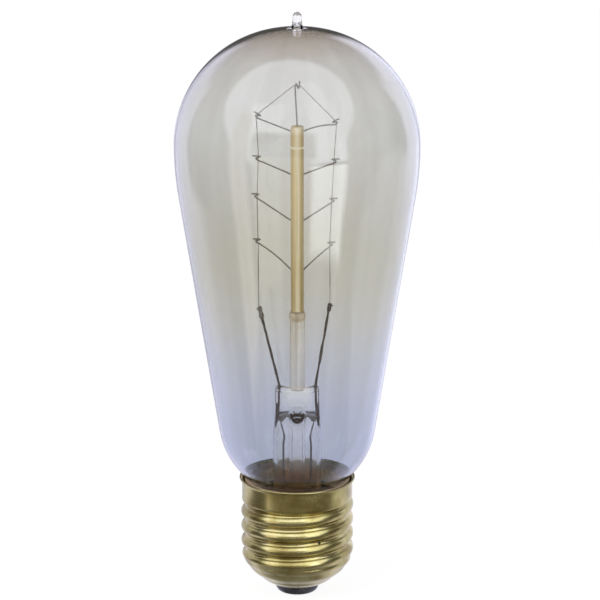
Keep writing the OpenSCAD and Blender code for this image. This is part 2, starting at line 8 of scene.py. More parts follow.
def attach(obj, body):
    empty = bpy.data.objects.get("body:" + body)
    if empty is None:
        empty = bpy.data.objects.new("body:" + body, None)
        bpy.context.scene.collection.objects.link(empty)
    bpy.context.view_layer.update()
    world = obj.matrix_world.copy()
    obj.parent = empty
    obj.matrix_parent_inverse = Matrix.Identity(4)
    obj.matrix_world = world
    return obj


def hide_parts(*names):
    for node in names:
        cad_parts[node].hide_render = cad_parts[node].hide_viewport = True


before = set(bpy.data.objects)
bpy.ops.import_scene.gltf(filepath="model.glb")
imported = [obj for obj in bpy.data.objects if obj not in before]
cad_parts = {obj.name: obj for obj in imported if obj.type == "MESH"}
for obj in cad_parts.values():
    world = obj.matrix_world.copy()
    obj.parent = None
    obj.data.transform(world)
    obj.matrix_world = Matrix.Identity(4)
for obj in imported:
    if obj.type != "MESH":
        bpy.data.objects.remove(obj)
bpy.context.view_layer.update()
scene = bpy.context.scene
mm = 0.001
sharpAngle = math.radians(38)  # steeper creases stay crisp edges
print("frame loaded:", len(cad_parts), "nodes")


def linear(hexColour):
    channels = [int(hexColour[i:i + 2], 16) / 255 for i in (1, 3, 5)]
    return [c / 12.92 if c <= 0.04045 else ((c + 0.055) / 1.055) ** 2.4 for c in channels] + [1]


def addNode(tree, kind, settings={}, links={}):
    # a Mix node's colours are its sockets 6 and 7, and its colour output is 2
    node = tree.nodes.new(kind)
    for name, value in settings.items():
        if name == "stops":
            while len(node.color_ramp.elements) < len(value):
                node.color_ramp.elements.new(0.5)
            for element, (place, colour) in zip(node.color_ramp.elements, value):
                element.position, element.color = place, linear(colour)
        elif isinstance(name, str) and hasattr(node, name):
            setattr(node, name, value)
        else:
            node.inputs[name].default_value = value
    for name, source in links.items():
        tree.links.new(source, node.inputs[name])
    return node


def startMaterial(name):
    material = bpy.data.materials.new(name)
    material.use_nodes = True
    material.node_tree.nodes.clear()
    place = addNode(material.node_tree, "ShaderNodeTexCoord").outputs["Object"]
    return material, material.node_tree, place


def finishGlass(tree, glass, shade):
    # lamps shine through the glass, so the pieces inside are lit
    clear = addNode(tree, "ShaderNodeBsdfTransparent", {"Color": linear(shade)})
    path = addNode(tree, "ShaderNodeLightPath")
    both = addNode(tree, "ShaderNodeMixShader", {},
                   {0: path.outputs["Is Shadow Ray"], 1: glass.outputs[0], 2: clear.outputs[0]})
    addNode(tree, "ShaderNodeOutputMaterial", {}, {"Surface": both.outputs[0]})


# blown soda-lime glass: clear tip, brown crown, smoky beige belly, cool lavender foot, upright streaks that
# die out on the crown
blown = {"radius": 28.8, "streak": 6.4}
blownGlass, tree, place = startMaterial("blownSodaLimeGlass")
height = addNode(tree, "ShaderNodeSeparateXYZ", {}, {"Vector": place})
level = addNode(tree, "ShaderNodeMapRange", {"From Min": 30 * mm, "From Max": 142 * mm},
                {"Value": height.outputs["Z"]})
smoke = addNode(tree, "ShaderNodeValToRGB",
                {"stops": [(0.0, "#D0D4E2"), (0.1, "#D2D6E3"), (0.216, "#DADCE4"), (0.354, "#DFDEDB"),
                           (0.452, "#DDDCD4"), (0.59, "#E1E0DC"), (0.766, "#E9E9E8"), (0.913, "#E6E4E2"),
                           (0.958, "#D2C7BB"), (0.97, "#FBFBFF")]}, {"Fac": level.outputs["Result"]})
flat = addNode(tree, "ShaderNodeVectorMath", {"operation": "MULTIPLY", 1: (1, 1, 0)}, {0: place})
around = addNode(tree, "ShaderNodeVectorMath", {"operation": "NORMALIZE"}, {0: flat.outputs["Vector"]})
streak = addNode(tree, "ShaderNodeTexNoise", {"Scale": blown["radius"] / blown["streak"], "Detail": 3},
                 {"Vector": around.outputs["Vector"]})
veil = addNode(tree, "ShaderNodeValToRGB", {"stops": [(0.36, "#F9F9F8"), (0.62, "#FFFFFF")]},
               {"Fac": streak.outputs["Fac"]})
tint = addNode(tree, "ShaderNodeMix", {"data_type": "RGBA", "blend_type": "MULTIPLY", 0: 1.0},
               {6: smoke.outputs["Color"], 7: veil.outputs["Color"]})
reach = addNode(tree, "ShaderNodeVectorMath", {"operation": "LENGTH"}, {0: flat.outputs["Vector"]})
calm = addNode(tree, "ShaderNodeMapRange", {"From Min": 8 * mm, "From Max": 24 * mm},
               {"Value": reach.outputs["Value"]})
wave = addNode(tree, "ShaderNodeMath", {"operation": "MULTIPLY"},
               {0: streak.outputs["Fac"], 1: calm.outputs["Result"]})
bump = addNode(tree, "ShaderNodeBump", {"Strength": 0.3, "Distance": 0.2 * mm}, {"Height": wave.outputs[0]})
glass = addNode(tree, "ShaderNodeBsdfPrincipled", {"Transmission Weight": 1.0, "Roughness": 0.0, "IOR": 1.5},
                {"Base Color": tint.outputs[2], "Normal": bump.outputs["Normal"]})
finishGlass(tree, glass, "#F0F0EE")

# pressed lead glass: clear tube, milky middle of the press; painted shade: the foot brown inside the cap,
# and faint brown along the walls where they turn away from the view
pressed = {"paintedBrownFoot": (29, 33), "milkRise": (46, 49.4), "milkEdge": (4, 2), "clear": 0.97, "milky": 0.42}
stemGlass, tree, place = startMaterial("pressedLeadGlass")
# painted shade: browner towards the edges as the walls turn away from the view
edge = addNode(tree, "ShaderNodeLayerWeight", {"Blend": 0.35})
clear = addNode(tree, "ShaderNodeValToRGB", {"stops": [(0.0, "#FFFFFF"), (0.6, "#FCFBF9"), (1.0, "#E2D8CA")]},
                {"Fac": edge.outputs["Facing"]})
height = addNode(tree, "ShaderNodeSeparateXYZ", {}, {"Vector": place})
# painted shade: brown on the foot, below 29 to 33 mm, inside the cap
level = addNode(tree, "ShaderNodeMapRange",
                {"From Min": pressed["paintedBrownFoot"][0] * mm, "From Max": pressed["paintedBrownFoot"][1] * mm},
                {"Value": height.outputs["Z"]})
tint = addNode(tree, "ShaderNodeMix", {"data_type": "RGBA", 6: linear("#D9B88C")},
               {0: level.outputs["Result"], 7: clear.outputs["Color"]})
milk = addNode(tree, "ShaderNodeMapRange",
               {"From Min": pressed["milkRise"][0] * mm, "From Max": pressed["milkRise"][1] * mm,
                "To Min": pressed["clear"], "To Max": pressed["milky"]},
               {"Value": height.outputs["Z"]})
aside = addNode(tree, "ShaderNodeMath", {"operation": "ABSOLUTE"}, {0: height.outputs["X"]})
middle = addNode(tree, "ShaderNodeMapRange",
                 {"From Min": pressed["milkEdge"][0] * mm, "From Max": pressed["milkEdge"][1] * mm},
                 {"Value": aside.outputs[0]})
cloud = addNode(tree, "ShaderNodeMix", {2: pressed["clear"]},
                {0: middle.outputs["Result"], 3: milk.outputs["Result"]})
glass = addNode(tree, "ShaderNodeBsdfPrincipled", {"Roughness": 0.0, "IOR": 1.5},
                {"Base Color": tint.outputs[2], "Transmission Weight": cloud.outputs[0]})
finishGlass(tree, glass, "#F6F6F4")

# clear rod and bead of the same glass: tan cords along the rod, a brown ring at each end of the bead
cordedGlass, tree, place = startMaterial("cordedLeadGlass")
stretch = addNode(tree, "ShaderNodeMapping", {"Scale": (1, 1, 0.02)}, {"Vector": place})
cord = addNode(tree, "ShaderNodeTexNoise", {"Scale": 1 / (0.7 * mm), "Detail": 2},
               {"Vector": stretch.outputs["Vector"]})
cords = addNode(tree, "ShaderNodeValToRGB", {"stops": [(0.38, "#D9CDB6"), (0.6, "#FAF8F2")]},
                {"Fac": cord.outputs["Fac"]})
height = addNode(tree, "ShaderNodeSeparateXYZ", {}, {"Vector": place})
level = addNode(tree, "ShaderNodeMapRange", {"From Min": 66.9 * mm, "From Max": 70.2 * mm},
                {"Value": height.outputs["Z"]})
beadEndRings = addNode(tree, "ShaderNodeValToRGB",
                {"stops": [(0.22, "#FFFFFF"), (0.3, "#E2D6C2"), (0.4, "#F5F0E6"), (0.8, "#F5F0E6"),
                           (0.92, "#A58B68")]}, {"Fac": level.outputs["Result"]})
tint = addNode(tree, "ShaderNodeMix", {"data_type": "RGBA", "blend_type": "MULTIPLY", 0: 1.0},
               {6: cords.outputs["Color"], 7: beadEndRings.outputs["Color"]})
glass = addNode(tree, "ShaderNodeBsdfPrincipled", {"Transmission Weight": 0.9, "Roughness": 0.0, "IOR": 1.5},
                {"Base Color": tint.outputs[2]})
finishGlass(tree, glass, "#F4F2EE")

# cloudy amber glass rod: painted highlight down the middle, painted shade on the tan flanks,
# drawing streaks, one pale ring near the top
amberGlass, tree, place = startMaterial("drawnAmberGlass")
# painted light: brightest where the rod faces the view, darker towards its edges
edge = addNode(tree, "ShaderNodeLayerWeight", {"Blend": 0.5})
paintedHighlightRamp = addNode(tree, "ShaderNodeValToRGB",
                {"stops": [(0.0, "#FFFCEC"), (0.05, "#FFF3D2"), (0.14, "#E4CFA4"), (0.3, "#D6C498"),
                           (0.6, "#D2C298"), (0.9, "#CCBC92")]}, {"Fac": edge.outputs["Facing"]})
stretch = addNode(tree, "ShaderNodeMapping", {"Scale": (1, 1, 0.02)}, {"Vector": place})
streak = addNode(tree, "ShaderNodeTexNoise", {"Scale": 1 / (0.8 * mm), "Detail": 2},
                 {"Vector": stretch.outputs["Vector"]})
shadeOf = addNode(tree, "ShaderNodeValToRGB", {"stops": [(0.3, "#E2DAC6"), (0.7, "#FFFFFF")]},
                  {"Fac": streak.outputs["Fac"]})
drawn = addNode(tree, "ShaderNodeMix", {"data_type": "RGBA", "blend_type": "MULTIPLY", 0: 1.0},
                {6: paintedHighlightRamp.outputs["Color"], 7: shadeOf.outputs["Color"]})
height = addNode(tree, "ShaderNodeSeparateXYZ", {}, {"Vector": place})
ring = addNode(tree, "ShaderNodeMath", {"operation": "COMPARE", 1: 109.5 * mm, 2: 0.25 * mm},
               {0: height.outputs["Z"]})
tint = addNode(tree, "ShaderNodeMix", {"data_type": "RGBA", 7: linear("#F6EED4")},
               {0: ring.outputs[0], 6: drawn.outputs[2]})
glass = addNode(tree, "ShaderNodeBsdfPrincipled",
                {"Roughness": 0.12, "IOR": 1.52, "Transmission Weight": 0.2},
                {"Base Color": tint.outputs[2]})
addNode(tree, "ShaderNodeOutputMaterial", {}, {"Surface": glass.outputs[0]})

# rolled sheet brass, pale with olive tarnish: satin gloss under thin lacquer, faint turning lines, one pit
# painted dark as its shade, with no dent
pricked = {"at": (5.2, -11.15, 15.8), "deep": 0.25, "rim": 0.5}
brass, tree, place = startMaterial("rolledSheetBrass")
patch = addNode(tree, "ShaderNodeTexNoise", {"Scale": 1 / (5 * mm), "Detail": 4}, {"Vector": place})
tint = addNode(tree, "ShaderNodeValToRGB",
               {"stops": [(0.34, "#9C8A52"), (0.48, "#B8AA6E"), (0.64, "#CDBF88")]},
               {"Fac": patch.outputs["Fac"]})
rough = addNode(tree, "ShaderNodeMapRange",
                {"From Min": 0.3, "From Max": 0.7, "To Min": 0.32, "To Max": 0.22},
                {"Value": patch.outputs["Fac"]})
around = addNode(tree, "ShaderNodeMapping", {"Scale": (0.04, 0.04, 1)}, {"Vector": place})
fine = addNode(tree, "ShaderNodeTexNoise", {"Scale": 1 / (0.25 * mm), "Detail": 2},
               {"Vector": around.outputs["Vector"]})
bump = addNode(tree, "ShaderNodeBump", {"Strength": 0.2, "Distance": 0.02 * mm},
               {"Height": fine.outputs["Fac"]})
# painted shade: the pit is a dark spot only, the surface is not sunk there
pit = addNode(tree, "ShaderNodeVectorMath",
              {"operation": "DISTANCE", 1: [c * mm for c in pricked["at"]]}, {0: place})
pitShadeShare = addNode(tree, "ShaderNodeMapRange",
               {"From Min": pricked["deep"] * mm, "From Max": pricked["rim"] * mm},
               {"Value": pit.outputs["Value"]})
paintedPitShade = addNode(tree, "ShaderNodeMix", {"data_type": "RGBA", 6: linear("#1E1A10")},
                 {0: pitShadeShare.outputs["Result"], 7: tint.outputs["Color"]})
metal = addNode(tree, "ShaderNodeBsdfPrincipled",
                {"Metallic": 1.0, "Coat Weight": 0.3, "Coat Roughness": 0.2},
                {"Base Color": paintedPitShade.outputs[2], "Roughness": rough.outputs["Result"],
                 "Normal": bump.outputs["Normal"]})
addNode(tree, "ShaderNodeOutputMaterial", {}, {"Surface": metal.outputs[0]})


def mottled(name, dark, light, grain, settings, paintedShadeAbove=None):
    # two tones in patches of the given grain in mm, and a painted shade colour that comes on between two
    # heights
    material, tree, place = startMaterial(name)
    mottle = addNode(tree, "ShaderNodeTexNoise", {"Scale": 1 / (grain * mm), "Detail": 3}, {"Vector": place})
    tint = addNode(tree, "ShaderNodeValToRGB", {"stops": [(0.35, dark), (0.65, light)]},
                   {"Fac": mottle.outputs["Fac"]})
    colour = tint.outputs["Color"]
    # painted shade: the given colour takes over above the second height
    if paintedShadeAbove:
        height = addNode(tree, "ShaderNodeSeparateXYZ", {}, {"Vector": place})
        level = addNode(tree, "ShaderNodeMapRange", {"From Min": paintedShadeAbove[0] * mm, "From Max": paintedShadeAbove[1] * mm},
                        {"Value": height.outputs["Z"]})
        colour = addNode(tree, "ShaderNodeMix", {"data_type": "RGBA", 7: linear(paintedShadeAbove[2])},
                         {0: level.outputs["Result"], 6: colour}).outputs[2]
    bump = addNode(tree, "ShaderNodeBump", {"Strength": 0.2, "Distance": 0.1 * grain * mm},
                   {"Height": mottle.outputs["Fac"]})
    shader = addNode(tree, "ShaderNodeBsdfPrincipled", settings,
                     {"Base Color": colour, "Normal": bump.outputs["Normal"]})
    addNode(tree, "ShaderNodeOutputMaterial", {}, {"Surface": shader.outputs[0]})
    return material


# slag black insulating glass: glossy, with flow marks
blackGlass = mottled("mouldedBlackGlass", "#121113", "#28252A", 2.0, {"Roughness": 0.25, "IOR": 1.52})
# painted shade: dark brown glass in the hollow of the press and in the exhaust hole, where they show dark by
# refraction
shadeGlass = mottled("paintedShadeGlass", "#241A12", "#4E3D2C", 0.8,
                  {"Transmission Weight": 0.1, "Roughness": 0.05, "IOR": 1.5})
# nickel leads: brown grey, dulled by the sealing flame
nickel = mottled("drawnNickel", "#5A504C", "#787069", 0.6, {"Metallic": 0.6, "Roughness": 0.5})
# left clamp: paler grey, bent from sheet
steel = mottled("crimpedSteel", "#77706A", "#A09890", 0.5, {"Metallic": 0.5, "Roughness": 0.5})
# support wire: dull grey
molybdenum = mottled("drawnMolybdenum", "#7A736D", "#9A938C", 0.5, {"Metallic": 0.6, "Roughness": 0.45})
# flashed carbon: soft grey sheen
carbon = mottled("bakedCarbonThread", "#837D79", "#A39C97", 0.4, {"Roughness": 0.6})
# seal wire: dull red brown in the press
cladCopper = mottled("copperCladSealWire", "#4E403D", "#6A5752", 0.5, {"Metallic": 0.5, "Roughness": 0.5})
# outer leads: dark brown grey with a dull shine
copper = mottled("tinnedCopper", "#332D2C", "#4F4745", 0.5, {"Metallic": 0.6, "Roughness": 0.45})
# basing cement: gritty tan, painted pale for its dim place in the cap, with painted shade in grey brown
# where it shows at the rim
cement = mottled("bakedBasingCement", "#B59A6E", "#E0C69A", 0.8, {"Roughness": 0.9}, (27.2, 28.0, "#94806A"))
# solder: grey, half bright
solder = mottled("softSolder", "#8F9094", "#B4B5B8", 0.6, {"Metallic": 0.9, "Roughness": 0.35})
print("materials ready")


def spinMoves(bm, moves, segments):
    # (x, z) goes straight there, (x, z, degrees, steps) turns about that centre; the line is then spun; mm
    point = bm.verts.new((moves[0][0] * mm, 0, moves[0][1] * mm))
    path = [point]
    for move in moves[1:]:
        before = set(bm.verts)
        if len(move) == 2:
            point = bmesh.ops.extrude_vert_indiv(bm, verts=[point])["verts"][0]
            point.co = (move[0] * mm, 0, move[1] * mm)
        else:
            turned = bmesh.ops.spin(bm, geom=[point], cent=(move[0] * mm, 0, move[1] * mm), axis=(0, 1, 0),
                                    angle=math.radians(move[2]), steps=move[3], use_merge=False)
            point = [g for g in turned["geom_last"] if isinstance(g, bmesh.types.BMVert)][0]
        path += [v for v in bm.verts if v not in before]
    before = set(bm.verts) - set(path)
    line = path + list({e for v in path for e in v.link_edges})
    bmesh.ops.spin(bm, geom=line, cent=(0, 0, 0), axis=(0, 0, 1), angle=2 * math.pi, steps=segments,
                   use_merge=True)
    return [v for v in bm.verts if v not in before]


def toMesh(name, bm):
    bmesh.ops.remove_doubles(bm, verts=bm.verts[:], dist=1e-6)
    bmesh.ops.recalc_face_normals(bm, faces=bm.faces[:])
    mesh = bpy.data.meshes.new(name)
    bm.to_mesh(mesh)
    bm.free()
    mesh.polygons.foreach_set("use_smooth", [True] * len(mesh.polygons))
    return mesh


def addPiece(name, mesh, materials, nodes):
    for material in materials:
        mesh.materials.append(material)
    mesh.set_sharp_from_angle(angle=sharpAngle)
    piece = bpy.data.objects.new(name, mesh)
    scene.collection.objects.link(piece)
    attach(piece, "root")
    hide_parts(*nodes)
    return piece


def addWire(name, points, diameter, material, nodes):
    # round wire through points in mm, made a mesh
    curve = bpy.data.curves.new(name + "Path", "CURVE")
    curve.dimensions = "3D"
    curve.bevel_depth = diameter / 2 * mm
    curve.bevel_resolution = 3
    curve.use_fill_caps = True
    spline = curve.splines.new("POLY")
    spline.points.add(len(points) - 1)
    for place, point in zip(spline.points, points):
        place.co = (*(Vector(point) * mm), 1)
    drawn = bpy.data.objects.new(name + "Path", curve)
    scene.collection.objects.link(drawn)
    mesh = bpy.data.meshes.new_from_object(drawn.evaluated_get(bpy.context.evaluated_depsgraph_get()))
    bpy.data.objects.remove(drawn)
    mesh.polygons.foreach_set("use_smooth", [True] * len(mesh.polygons))
    return addPiece(name, mesh, [material], nodes)


def ease(share):
    share = min(1, max(0, share))
    return share * share * (3 - 2 * share)


def bend(a, b, c, t):
    # point at t on the curve from a to c that leans towards b
    return Vector(a) * (1 - t) ** 2 + Vector(b) * (2 * t * (1 - t)) + Vector(c) * t ** 2


envelope = {"radius": 28.8, "wall": 0.8, "bellyZ": 110.0, "shoulderOff": 1.3, "crownFlat": 6.2, "bellyR": 74,
            "taper": 9.2, "lowR": 18.6, "throat": 41.6, "mouth": (12.5, 29.4), "neckR": 10.8, "neckFillet": 2,
            "sealZ": 17.6, "tipTop": 141.43, "tipEnd": 1.05, "tipFoot": 1.9,
            "waist": [(1.1, 139.9), (1.14, 139.2), (1.22, 138.5), (1.42, 137.95)],
            "funnel": [(0.55, 137.7), (0.25, 138.6), (0, 139.3)], "funnelMouth": 1.0, "segments": 160}


def envelopeMoves(e):
    # from the tip down the outside to the seal, and up the inside to the funnel under the tip
    taper, throat, wall = math.radians(e["taper"]), math.radians(e["throat"]), e["wall"]
    crownR = e["radius"] - e["shoulderOff"] + e["crownFlat"]
    crown = (0, e["bellyZ"] - math.sqrt(e["crownFlat"] ** 2 - e["shoulderOff"] ** 2))
    crownTurn = math.degrees(math.asin(e["shoulderOff"] / e["crownFlat"]))
    footTurn = math.degrees(math.asin(e["tipFoot"] / crownR))
    mouthTurn = math.degrees(math.asin(e["funnelMouth"] / (crownR - wall)))
    belly = Vector((e["radius"] - e["bellyR"], e["bellyZ"]))
    taperOut = Vector((math.cos(taper), -math.sin(taper)))
    taperDown = Vector((-math.sin(taper), -math.cos(taper)))
    throatOut = Vector((math.cos(throat), -math.sin(throat)))
    throatUp = Vector((math.sin(throat), math.cos(throat)))
    taperStart, mouth = belly + e["bellyR"] * taperOut, Vector(e["mouth"])
    corner = taperStart + (mouth - taperStart).cross(throatUp) / taperDown.cross(throatUp) * taperDown
    lowStart = corner - e["lowR"] * math.tan((throat - taper) / 2) * taperDown
    low = lowStart - e["lowR"] * taperOut
    neckCorner = mouth + (e["neckR"] - mouth.x) / math.sin(throat) * throatUp
    reach = e["neckFillet"] * math.tan(throat / 2)
    neck = Vector((e["neckR"] + e["neckFillet"], neckCorner.y - reach))
    outside = [(0, e["tipTop"]), (0, e["tipTop"] - e["tipEnd"], 90, 6), *e["waist"],
               (e["tipFoot"], crown[1] + crownR * math.cos(math.radians(footTurn))),
               (*crown, crownTurn - footTurn, 6), (e["shoulderOff"], e["bellyZ"], 90 - crownTurn, 36),
               (*belly, e["taper"], 8), tuple(lowStart), (*low, e["throat"] - e["taper"], 12),
               tuple(neckCorner + reach * throatUp), (*neck, -e["throat"], 8), (e["neckR"], e["sealZ"])]
    inside = [(e["neckR"] - wall, e["sealZ"]), (e["neckR"] - wall, neck.y), (*neck, e["throat"], 8),
              tuple(low + (e["lowR"] - wall) * throatOut), (*low, e["taper"] - e["throat"], 12),
              tuple(belly + (e["bellyR"] - wall) * taperOut), (*belly, -e["taper"], 8),
              (e["shoulderOff"], e["bellyZ"], crownTurn - 90, 36), (*crown, mouthTurn - crownTurn, 6),
              *e["funnel"]]
    return outside + inside


bm = bmesh.new()
spinMoves(bm, envelopeMoves(envelope), envelope["segments"])
addPiece("envelopeGlass", toMesh("envelopeGlass", bm), [blownGlass],
         ["glass_envelope", "envelope_tip"])
print("envelope turned")

shell = {"foot": (5.7, 2.8), "bulge": (9.6, 4.4), "bowl": (12.5, 8.8), "collar": 12.9, "collarTop": 28.1,
         "lipTurn": 80.7, "lipArc": 1.0132, "sheet": 0.3, "major": 13.15, "depth": 1.1, "pitch": 3.629,
         "crestAtX": 15.0, "threadBase": 8.8, "threadTop": 24.4, "fade": 1.8, "rows": 96, "segments": 180,
         "beads": [(0.87, 0.035, 0.13), (0.71, 0.08, -0.09), (0.47, 0.10, 0.12)], "bowlRows": 60}


def bowlPoint(s, t, inset):
    # point on the bowl's outline from foot to thread, moved inwards by inset
    ends = [bend(s["foot"], s["bulge"], s["bowl"], t + step) for step in (-0.01, 0.01)]
    way = (ends[1] - ends[0]).normalized()
    return tuple(bend(s["foot"], s["bulge"], s["bowl"], t) + inset * Vector((-way.y, way.x)))


def bowlSink(s, t):
    # grooves and beads pressed in the bowl: (place from foot to thread, width, depth)
    return sum(deep * math.exp(-((t - at) / wide) ** 2) for at, wide, deep in s["beads"])


def threadRadius(s, height):
    # rolled round thread: crest and root are arcs of one radius; height is counted from a crest
    arc = (s["depth"] ** 2 + (s["pitch"] / 2) ** 2) / (4 * s["depth"])
    off = abs(height - s["pitch"] * round(height / s["pitch"]))
    if off < s["pitch"] / 4:
        return s["major"] - arc + math.sqrt(arc ** 2 - off ** 2)
    return s["major"] - s["depth"] + arc - math.sqrt(arc ** 2 - (s["pitch"] / 2 - off) ** 2)


bm = bmesh.new()
rise = (shell["threadTop"] - shell["threadBase"]) / shell["rows"]
widen = (shell["collar"] - shell["bowl"][0]) / shell["rows"]
tube = [(shell["bowl"][0] + widen * i, shell["threadBase"] + rise * i) for i in range(1, shell["rows"] + 1)]
shares = [i / shell["bowlRows"] for i in range(shell["bowlRows"] + 1)]
spinMoves(bm, [*[bowlPoint(shell, t, bowlSink(shell, t)) for t in shares], *tube,
               (shell["collar"], shell["collarTop"]),
               (shell["collar"] + shell["lipArc"], shell["collarTop"], shell["lipTurn"], 8)],
          shell["segments"])
for v in bm.verts:  # roll the right-hand thread into the plain tube
    z, radius = v.co.z / mm, math.hypot(v.co.x, v.co.y) / mm
    share = ease((z - shell["threadBase"]) / shell["fade"]) * ease((shell["threadTop"] - z) / shell["fade"])
    turn = math.atan2(v.co.y, v.co.x) / (2 * math.pi)
    rolled = threadRadius(shell, z - shell["crestAtX"] - shell["pitch"] * turn)
    grow = 1 + share * (rolled / radius - 1)
    v.co.x, v.co.y = v.co.x * grow, v.co.y * grow
capShell = addPiece("capShell", toMesh("capShell", bm), [brass], ["cap_shell"])
sheet = capShell.modifiers.new("sheet", "SOLIDIFY")
sheet.thickness, sheet.offset = shell["sheet"] * mm, -1
print("cap shell rolled")

insulator = {"bore": 1.0, "seat": 0.6, "contact": 3.0, "low": 0.25, "flat": 3.5, "edge": 5.3, "gap": 0.4,
             "top": 5.8, "ledge": 0.3, "segments": 96}
bm = bmesh.new()
corners = [(insulator["flat"], insulator["low"]), (insulator["edge"], insulator["low"]),
           (insulator["edge"], shell["foot"][1])]
under = [tuple(bend(*corners, i / 10)) for i in range(10)]
bed = [bowlPoint(shell, i / 20, insulator["gap"]) for i in range(20)]
bed = [p for p in bed if p[0] > insulator["edge"] and p[1] < insulator["top"]]
spinMoves(bm, [(insulator["bore"], insulator["seat"]), (insulator["contact"], insulator["seat"]),
               (insulator["contact"], insulator["low"]), *under, *bed,
               (bed[-1][0] + insulator["ledge"], insulator["top"]), (insulator["bore"], insulator["top"]),
               (insulator["bore"], insulator["seat"])], insulator["segments"])
addPiece("capInsulator", toMesh("capInsulator", bm), [blackGlass], ["cap_insulator"])

contact = {"radius": 3.0, "edge": 0.15, "thick": 0.6, "rivet": 1.0, "rivetTop": 6.4, "lead": 0.25,
           "solder": 0.7, "segments": 64}
bm = bmesh.new()
rim = contact["radius"] - contact["edge"]
spinMoves(bm, [(contact["solder"], 0), (rim, 0), (rim, contact["edge"], -90, 4),
               (contact["radius"], contact["thick"]), (contact["rivet"], contact["thick"]),
               (contact["rivet"], contact["rivetTop"]), (contact["lead"], contact["rivetTop"]),
               (contact["lead"], contact["thick"]), (contact["solder"], contact["thick"]),
               (contact["solder"], 0)], contact["segments"])
addPiece("centreContact", toMesh("centreContact", bm), [brass], ["centre_contact"])
print("foot of the cap turned")

# "square" is the power of the press's outline: in the tube, added by the pinch, added in the flat;
# the arch entry is where the painted shade starts: share of the arch's rise, and of its half width at that
# height
stem = {"tube": 5.8, "wall": 0.9, "flare": 4.0, "sealZ": 17.55, "flange": 10.7, "tubeTop": 38.6,
        "pressTop": 51.7, "topRows": (2.5, 4.2), "pinch": 8.0, "square": (2, 4, 6), "flatZ": 46.6,
        "flatRise": 2.5, "halfWidth": 5.2, "halfThick": 2.2, "corner": 0.8, "crown": 1.2, "dip": 0.6,
        "dipHalf": 4.1, "archZ": 45.0, "archDrop": 1.6, "archShade": (0.05, 0.66), "blowZ": 44.9,
        "blowR": 2.2, "blowDeep": 2.3, "blowOut": 0.3, "blowShade": 0.3, "blowSegments": 48, "rows": 40,
        "boreRows": 16, "segments": 192}
exhaust = {"radius": 2.0, "bore": 1.2, "top": 45.6, "end": 11.0, "boreTip": 13.8, "boreFoot": 15.0,
           "shadeBase": 42.4, "bands": (43.3, 43.5, 44.4), "bandStep": 0.1, "bandRows": 22, "segments": 48}
rod = {"clear": 1.825, "clearFoot": 49.2, "clearTop": 67.9, "bead": 1.975, "beadTop": 70.08, "beadRun": 0.4,
       "amber": 1.575, "amberFoot": 70.1, "amberTop": 114.5, "round": 0.35, "segments": 64}
corded, shadeSlot = 1, 2  # places in the stem's list of materials


def pinch(s, verts, inset):
    # squeeze the round tube into the flat press
    for v in verts:
        share = ease((v.co.z / mm - s["tubeTop"]) / s["pinch"])
        if share > 0:
            flat = ease((v.co.z / mm - s["flatZ"]) / s["flatRise"])
            power = s["square"][0] + s["square"][1] * share + s["square"][2] * flat
            turn = math.atan2(v.co.y, v.co.x)
            full = math.hypot(v.co.x, v.co.y) / (s["tube"] - inset)
            full *= (abs(math.cos(turn)) ** power + abs(math.sin(turn)) ** power) ** (-1 / power)
            v.co.x = full * math.cos(turn) * (s["tube"] + share * (s["halfWidth"] - s["tube"]) - inset)
            v.co.y = full * math.sin(turn) * (s["tube"] + share * (s["halfThick"] - s["tube"]) - inset)


bm = bmesh.new()
low, high = stem["tubeTop"], stem["pressTop"] - stem["corner"]
top, shoulder = stem["pressTop"], stem["tube"] - stem["corner"]
flareX, flareZ = stem["tube"] + stem["flare"], stem["sealZ"] + stem["flare"]
under = stem["sealZ"] - stem["wall"]
side = [(stem["tube"], high + (low - high) * i / stem["rows"]) for i in range(1, stem["rows"] + 1)]
outer = spinMoves(bm, [(0, top), *[(x, top) for x in stem["topRows"]], (shoulder, top),
                       (shoulder, high, 90, 5), *side, (stem["tube"], flareZ), (flareX, flareZ, -90, 10),
                       (stem["flange"], stem["sealZ"]), (stem["flange"], under)], stem["segments"])
pinch(stem, outer, 0)
for v in outer:  # the top edge of the press is rounded over and dips beside the rod
    dip = stem["dip"] * max(0, 1 - (v.co.x / mm / stem["dipHalf"]) ** 2)
    dip += stem["crown"] * (v.co.y / mm / stem["halfThick"]) ** 2
    v.co.z -= dip * mm * ease((v.co.z / mm - high) / stem["corner"])
bore, spring = stem["tube"] - stem["wall"], stem["archZ"] - stem["archDrop"]
wall = [(bore, low + (spring - low) * i / stem["boreRows"]) for i in range(stem["boreRows"] + 1)]
turns = [math.radians(a) for a in range(10, 91, 10)]
roof = [(bore * math.cos(a), spring + stem["archDrop"] * math.sin(a)) for a in turns]
hollow = spinMoves(bm, [(stem["flange"], under), (flareX, under), (flareX, flareZ, 90, 10), *wall, *roof],
                   stem["segments"])
pinch(stem, hollow, stem["wall"])
shadeFoot, shadeIn = stem["archShade"]
for face in {f for v in hollow for f in v.link_faces}:  # painted shade along the outline of the arch
    middle = face.calc_center_median() / mm
    share = (middle.z - spring) / stem["archDrop"]
    if share > shadeFoot and abs(middle.x) > shadeIn * bore * math.sqrt(1 - min(1, share) ** 2):
        face.material_index = shadeSlot
stemPiece = addPiece("stemGlass", toMesh("stemGlass", bm), [stemGlass, cordedGlass, shadeGlass],
                     ["stem_flare", "stem_press", "exhaust_tube", "clear_rod", "rod_bead"])

